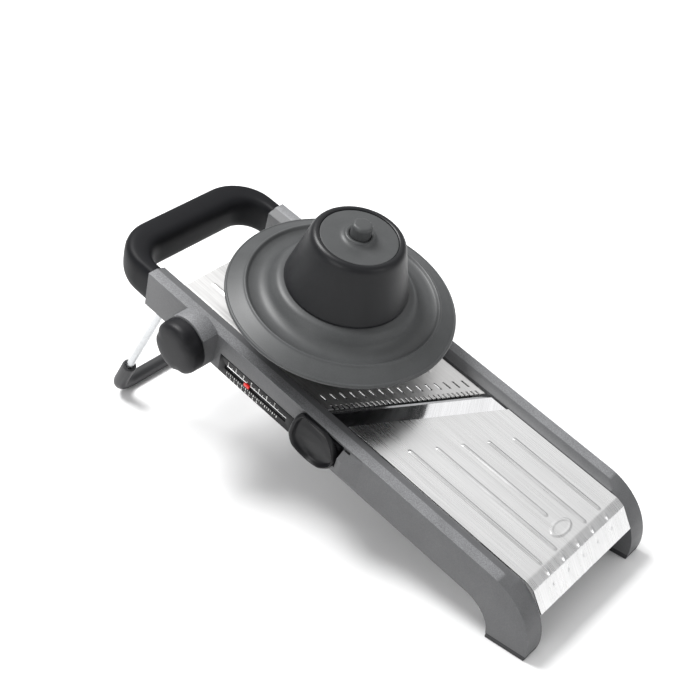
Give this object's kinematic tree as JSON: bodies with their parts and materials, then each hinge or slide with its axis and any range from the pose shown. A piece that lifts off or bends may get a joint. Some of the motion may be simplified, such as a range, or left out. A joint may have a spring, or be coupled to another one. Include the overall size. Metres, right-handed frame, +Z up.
{
  "type": "mandoline slicer",
  "caption": "Mandoline slicer with slanted steel ramp, diagonal blade cartridge, thickness dial, folding wire rear leg and a hat-shaped food holder with a sprung plunger.",
  "frame": {"origin": "centre of the bounding box's underside, on the table", "axes": "+X along the slicer towards the landing end and front feet, +Y across to the side without the dial, +Z up"},
  "size_m": [0.4232, 0.1792, 0.2184],
  "materials": {
    "grey_body": "satin moulded",
    "soft_grip": "soft matt",
    "rubber": "matt",
    "stainless": "brushed along the rails",
    "blade_steel": "ground",
    "bright_steel": "polished",
    "black_plastic": "satin",
    "scale_black": "printed scale",
    "white_nylon": "natural",
    "red_plastic": "gloss"
  },
  "bodies": {
    "frame": {"left_rail": "grey_body", "right_rail": "grey_body", "left_foot_pad": "rubber", "right_foot_pad": "rubber", "handle_core": "grey_body", "handle_grip": "soft_grip", "landing_plate": "stainless", "rear_brace": "black_plastic", "middle_brace": "black_plastic", "front_brace": "black_plastic", "throat_brace": "black_plastic", "frame_screws": "bright_steel", "scale_plate": "scale_black", "left_slide_guide": "black_plastic", "right_slide_guide": "black_plastic", "knob_bush": "black_plastic", "shaft_bush": "black_plastic", "ramp_pivot_rod": "bright_steel"},
    "thickness_dial": {"thickness_knob": "black_plastic", "knob_cap": "soft_grip", "knob_shaft": "bright_steel", "left_pinion": "white_nylon", "right_pinion": "white_nylon"},
    "lifting_slides": {"left_slide": "black_plastic", "right_slide": "black_plastic", "thickness_pointer": "red_plastic"},
    "ramp": {"ramp_plate": "stainless", "left_ramp_rib": "black_plastic", "right_ramp_rib": "black_plastic", "ramp_knuckles": "black_plastic"},
    "julienne_set": {"julienne_carrier": "black_plastic", "julienne_blades": "blade_steel"},
    "blade_cartridge": {"cartridge_tray": "black_plastic", "slicing_blade": "blade_steel", "blade_rivets": "bright_steel", "cartridge_pull": "black_plastic"},
    "rear_leg": {"leg_wire": "bright_steel", "leg_sleeve": "rubber", "leg_clips": "bright_steel"},
    "food_holder": {"holder_brim": "grey_body", "food_cup": "black_plastic", "holder_dome": "soft_grip", "holder_cap": "grey_body", "holder_web": "black_plastic"},
    "plunger": {"plunger_button": "grey_body", "plunger_rod": "bright_steel", "pusher_plate": "black_plastic", "pusher_prongs": "bright_steel", "plunger_collar": "black_plastic", "plunger_spring": "bright_steel"}
  },
  "joints": [
    {"name": "thickness_turn", "type": "hinge", "parent": "frame", "child": "thickness_dial", "pos_m": [-0.08422, 0.00665, 0.1193], "axis": [0, -1, 0], "range_deg": [-92, 183]},
    {"name": "slides_travel", "type": "slide", "parent": "frame", "child": "lifting_slides", "axis": [0.9603, 0, -0.279], "range_m": [-0.01205, 0.02397]},
    {"name": "ramp_tilt", "type": "hinge", "parent": "frame", "child": "ramp", "pos_m": [-0.10983, 0.00665, 0.13153], "axis": [0, 1, 0], "range_deg": [-0.53, 1.05]},
    {"name": "julienne_rise", "type": "slide", "parent": "ramp", "child": "julienne_set", "axis": [0.279, 0, 0.9603], "range_m": [0, 0.0055]},
    {"name": "cartridge_draw", "type": "slide", "parent": "frame", "child": "blade_cartridge", "axis": [-0.4729, -0.8704, 0.1374], "range_m": [0, 0.15]},
    {"name": "leg_fold", "type": "hinge", "parent": "frame", "child": "rear_leg", "pos_m": [-0.12758, 0.00665, 0.12419], "axis": [0, 1, 0], "range_deg": [-98.25, 0]},
    {"name": "holder_travel", "type": "slide", "parent": "frame", "child": "food_holder", "axis": [0.9603, 0, -0.279], "range_m": [-0.045, 0.165]},
    {"name": "plunger_travel", "type": "slide", "parent": "food_holder", "child": "plunger", "axis": [0.279, 0, 0.9603], "range_m": [-0.004, 0.018], "deforming": ["plunger_spring"]}
  ],
  "couplings": [
    {"joint": "slides_travel", "follows": "thickness_turn", "m_per_rad": 0.0075},
    {"joint": "ramp_tilt", "follows": "thickness_turn", "ratio": 0.00575}
  ]
}
